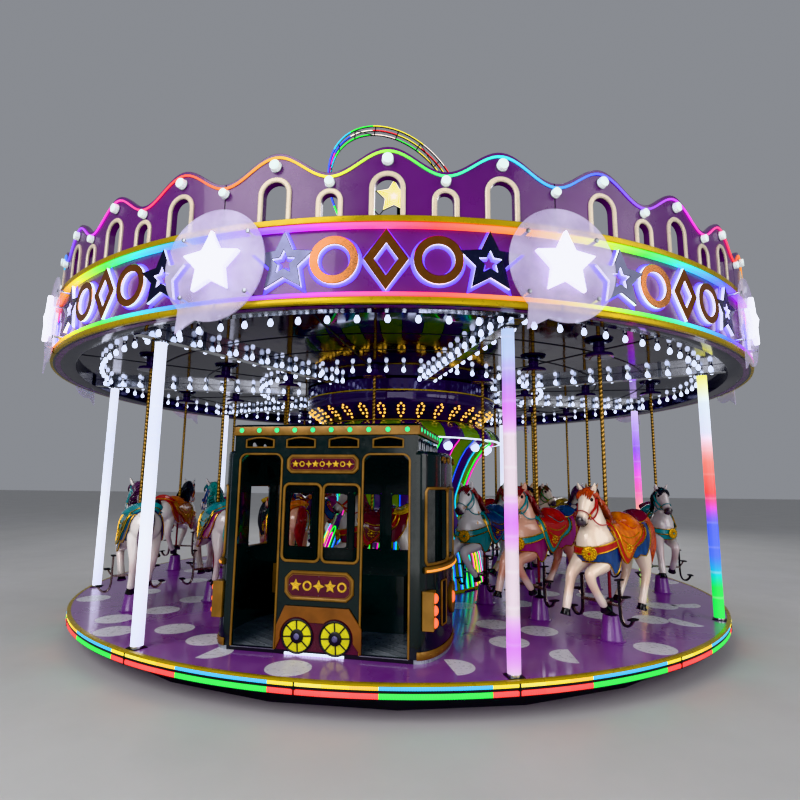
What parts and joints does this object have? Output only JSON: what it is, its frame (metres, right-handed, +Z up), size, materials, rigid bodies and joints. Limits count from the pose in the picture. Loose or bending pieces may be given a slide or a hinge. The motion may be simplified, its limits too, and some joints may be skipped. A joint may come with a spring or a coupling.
{
  "type": "fairground carousel",
  "caption": "Fairground carousel: a turning deck with rising horses and a small trolley cabin under a canopy with a lit band and wavy crown, round a fixed centre column.",
  "frame": {"origin": "on the floor, on the axis of rotation, at the underside of the base plate", "axes": "+Z up along the axis of rotation; -Y towards the side with the trolley cabin; +X to the right of it"},
  "size_m": [8.9321, 8.8745, 7.2459],
  "materials": {
    "black_steel": "satin black paint",
    "column_stripes": "gloss paint in green and purple stripes",
    "deck_purple": "gloss purple deck coating with white dots",
    "ceiling_mirror": "dark mirror-finish panels",
    "light_tube": "frosted light tube, lit",
    "canopy_purple": "gloss purple paint",
    "roof_dark": "dull dark sheet",
    "ornament_black": "black paint",
    "cabin_green": "gloss dark green paint",
    "tread_plate": "grey tread plate",
    "horse_cream": "gloss painted fibreglass",
    "horse_white": "gloss painted fibreglass",
    "horse_pink": "gloss painted fibreglass",
    "horse_grey": "gloss painted fibreglass",
    "gold_trim": "gold paint",
    "burgundy_board": "gloss burgundy paint",
    "chrome_tube": "polished",
    "brass_pole": "polished twisted brass",
    "black_rubber": "matt",
    "white_acrylic": "frosted translucent sheet",
    "lamp_glass": "clear lamp glass, lit",
    "led_strip": "lit diffuser strip",
    "tack_paint": "gloss painted saddle and tack",
    "mane_paint": "gloss painted mane and tail",
    "window_frame": "cream gloss paint"
  },
  "bodies": {
    "base": {"base_frame": "black_steel", "centre_column": "column_stripes"},
    "rotor": {"deck_quarter_1": "deck_purple", "deck_quarter_2": "deck_purple", "deck_quarter_3": "deck_purple", "deck_quarter_4": "deck_purple", "ceiling_quarter_1": "ceiling_mirror", "ceiling_quarter_2": "ceiling_mirror", "ceiling_quarter_3": "ceiling_mirror", "ceiling_quarter_4": "ceiling_mirror", "light_post_1": "light_tube", "light_post_2": "light_tube", "light_post_3": "light_tube", "light_post_4": "light_tube", "light_post_5": "light_tube", "light_post_6": "light_tube", "light_post_7": "light_tube", "light_post_8": "light_tube", "canopy_panel_1": "canopy_purple", "canopy_panel_2": "canopy_purple", "canopy_panel_3": "canopy_purple", "canopy_panel_4": "canopy_purple", "canopy_panel_5": "canopy_purple", "canopy_panel_6": "canopy_purple", "canopy_panel_7": "canopy_purple", "canopy_panel_8": "canopy_purple", "canopy_panel_9": "canopy_purple", "canopy_panel_10": "canopy_purple", "canopy_panel_11": "canopy_purple", "roof": "roof_dark", "top_ornament": "ornament_black", "trolley_floor": "tread_plate", "trolley_outer_side": "cabin_green", "trolley_inner_side": "cabin_green", "trolley_bow_front": "cabin_green", "trolley_bow_rear": "cabin_green", "trolley_roof": "cabin_green", "trolley_bench": "cabin_green"},
    "horse_outer_1": {"horse_outer_1": "horse_white"},
    "horse_middle_1": {"horse_middle_1": "horse_pink"},
    "horse_inner_1": {"horse_inner_1": "horse_white"},
    "horse_outer_2": {"horse_outer_2": "horse_white"},
    "horse_middle_2": {"horse_middle_2": "horse_grey"},
    "horse_inner_2": {"horse_inner_2": "horse_white"},
    "horse_inner_3": {"horse_inner_3": "horse_cream"},
    "horse_outer_4": {"horse_outer_4": "horse_cream"},
    "horse_middle_4": {"horse_middle_4": "horse_pink"},
    "horse_inner_4": {"horse_inner_4": "horse_white"},
    "horse_outer_5": {"horse_outer_5": "horse_grey"},
    "horse_middle_5": {"horse_middle_5": "horse_white"},
    "horse_inner_5": {"horse_inner_5": "horse_cream"},
    "horse_outer_6": {"horse_outer_6": "horse_pink"},
    "horse_middle_6": {"horse_middle_6": "horse_white"},
    "horse_inner_6": {"horse_inner_6": "horse_white"},
    "horse_outer_7": {"horse_outer_7": "horse_cream"},
    "horse_middle_7": {"horse_middle_7": "horse_grey"},
    "horse_inner_7": {"horse_inner_7": "horse_white"},
    "horse_outer_8": {"horse_outer_8": "horse_grey"},
    "horse_middle_8": {"horse_middle_8": "horse_white"},
    "horse_inner_8": {"horse_inner_8": "horse_pink"}
  },
  "joints": [
    {"name": "rotor_turn", "type": "hinge", "parent": "base", "child": "rotor", "pos_m": [0, 0, 0], "axis": [0, 0, 1], "continuous": true},
    {"name": "horse_outer_1_rise", "type": "slide", "parent": "rotor", "child": "horse_outer_1", "axis": [0, 0, 1], "range_m": [-0.02, 0.24]},
    {"name": "horse_middle_1_rise", "type": "slide", "parent": "rotor", "child": "horse_middle_1", "axis": [0, 0, 1], "range_m": [-0.02, 0.24]},
    {"name": "horse_inner_1_rise", "type": "slide", "parent": "rotor", "child": "horse_inner_1", "axis": [0, 0, 1], "range_m": [-0.02, 0.24]},
    {"name": "horse_outer_2_rise", "type": "slide", "parent": "rotor", "child": "horse_outer_2", "axis": [0, 0, 1], "range_m": [-0.02, 0.24]},
    {"name": "horse_middle_2_rise", "type": "slide", "parent": "rotor", "child": "horse_middle_2", "axis": [0, 0, 1], "range_m": [-0.02, 0.24]},
    {"name": "horse_inner_2_rise", "type": "slide", "parent": "rotor", "child": "horse_inner_2", "axis": [0, 0, 1], "range_m": [-0.02, 0.24]},
    {"name": "horse_inner_3_rise", "type": "slide", "parent": "rotor", "child": "horse_inner_3", "axis": [0, 0, 1], "range_m": [-0.02, 0.24]},
    {"name": "horse_outer_4_rise", "type": "slide", "parent": "rotor", "child": "horse_outer_4", "axis": [0, 0, 1], "range_m": [-0.02, 0.24]},
    {"name": "horse_middle_4_rise", "type": "slide", "parent": "rotor", "child": "horse_middle_4", "axis": [0, 0, 1], "range_m": [-0.02, 0.24]},
    {"name": "horse_inner_4_rise", "type": "slide", "parent": "rotor", "child": "horse_inner_4", "axis": [0, 0, 1], "range_m": [-0.02, 0.24]},
    {"name": "horse_outer_5_rise", "type": "slide", "parent": "rotor", "child": "horse_outer_5", "axis": [0, 0, 1], "range_m": [-0.02, 0.24]},
    {"name": "horse_middle_5_rise", "type": "slide", "parent": "rotor", "child": "horse_middle_5", "axis": [0, 0, 1], "range_m": [-0.02, 0.24]},
    {"name": "horse_inner_5_rise", "type": "slide", "parent": "rotor", "child": "horse_inner_5", "axis": [0, 0, 1], "range_m": [-0.02, 0.24]},
    {"name": "horse_outer_6_rise", "type": "slide", "parent": "rotor", "child": "horse_outer_6", "axis": [0, 0, 1], "range_m": [-0.02, 0.24]},
    {"name": "horse_middle_6_rise", "type": "slide", "parent": "rotor", "child": "horse_middle_6", "axis": [0, 0, 1], "range_m": [-0.02, 0.24]},
    {"name": "horse_inner_6_rise", "type": "slide", "parent": "rotor", "child": "horse_inner_6", "axis": [0, 0, 1], "range_m": [-0.02, 0.24]},
    {"name": "horse_outer_7_rise", "type": "slide", "parent": "rotor", "child": "horse_outer_7", "axis": [0, 0, 1], "range_m": [-0.02, 0.24]},
    {"name": "horse_middle_7_rise", "type": "slide", "parent": "rotor", "child": "horse_middle_7", "axis": [0, 0, 1], "range_m": [-0.02, 0.24]},
    {"name": "horse_inner_7_rise", "type": "slide", "parent": "rotor", "child": "horse_inner_7", "axis": [0, 0, 1], "range_m": [-0.02, 0.24]},
    {"name": "horse_outer_8_rise", "type": "slide", "parent": "rotor", "child": "horse_outer_8", "axis": [0, 0, 1], "range_m": [-0.02, 0.24]},
    {"name": "horse_middle_8_rise", "type": "slide", "parent": "rotor", "child": "horse_middle_8", "axis": [0, 0, 1], "range_m": [-0.02, 0.24]},
    {"name": "horse_inner_8_rise", "type": "slide", "parent": "rotor", "child": "horse_inner_8", "axis": [0, 0, 1], "range_m": [-0.02, 0.24]}
  ]
}
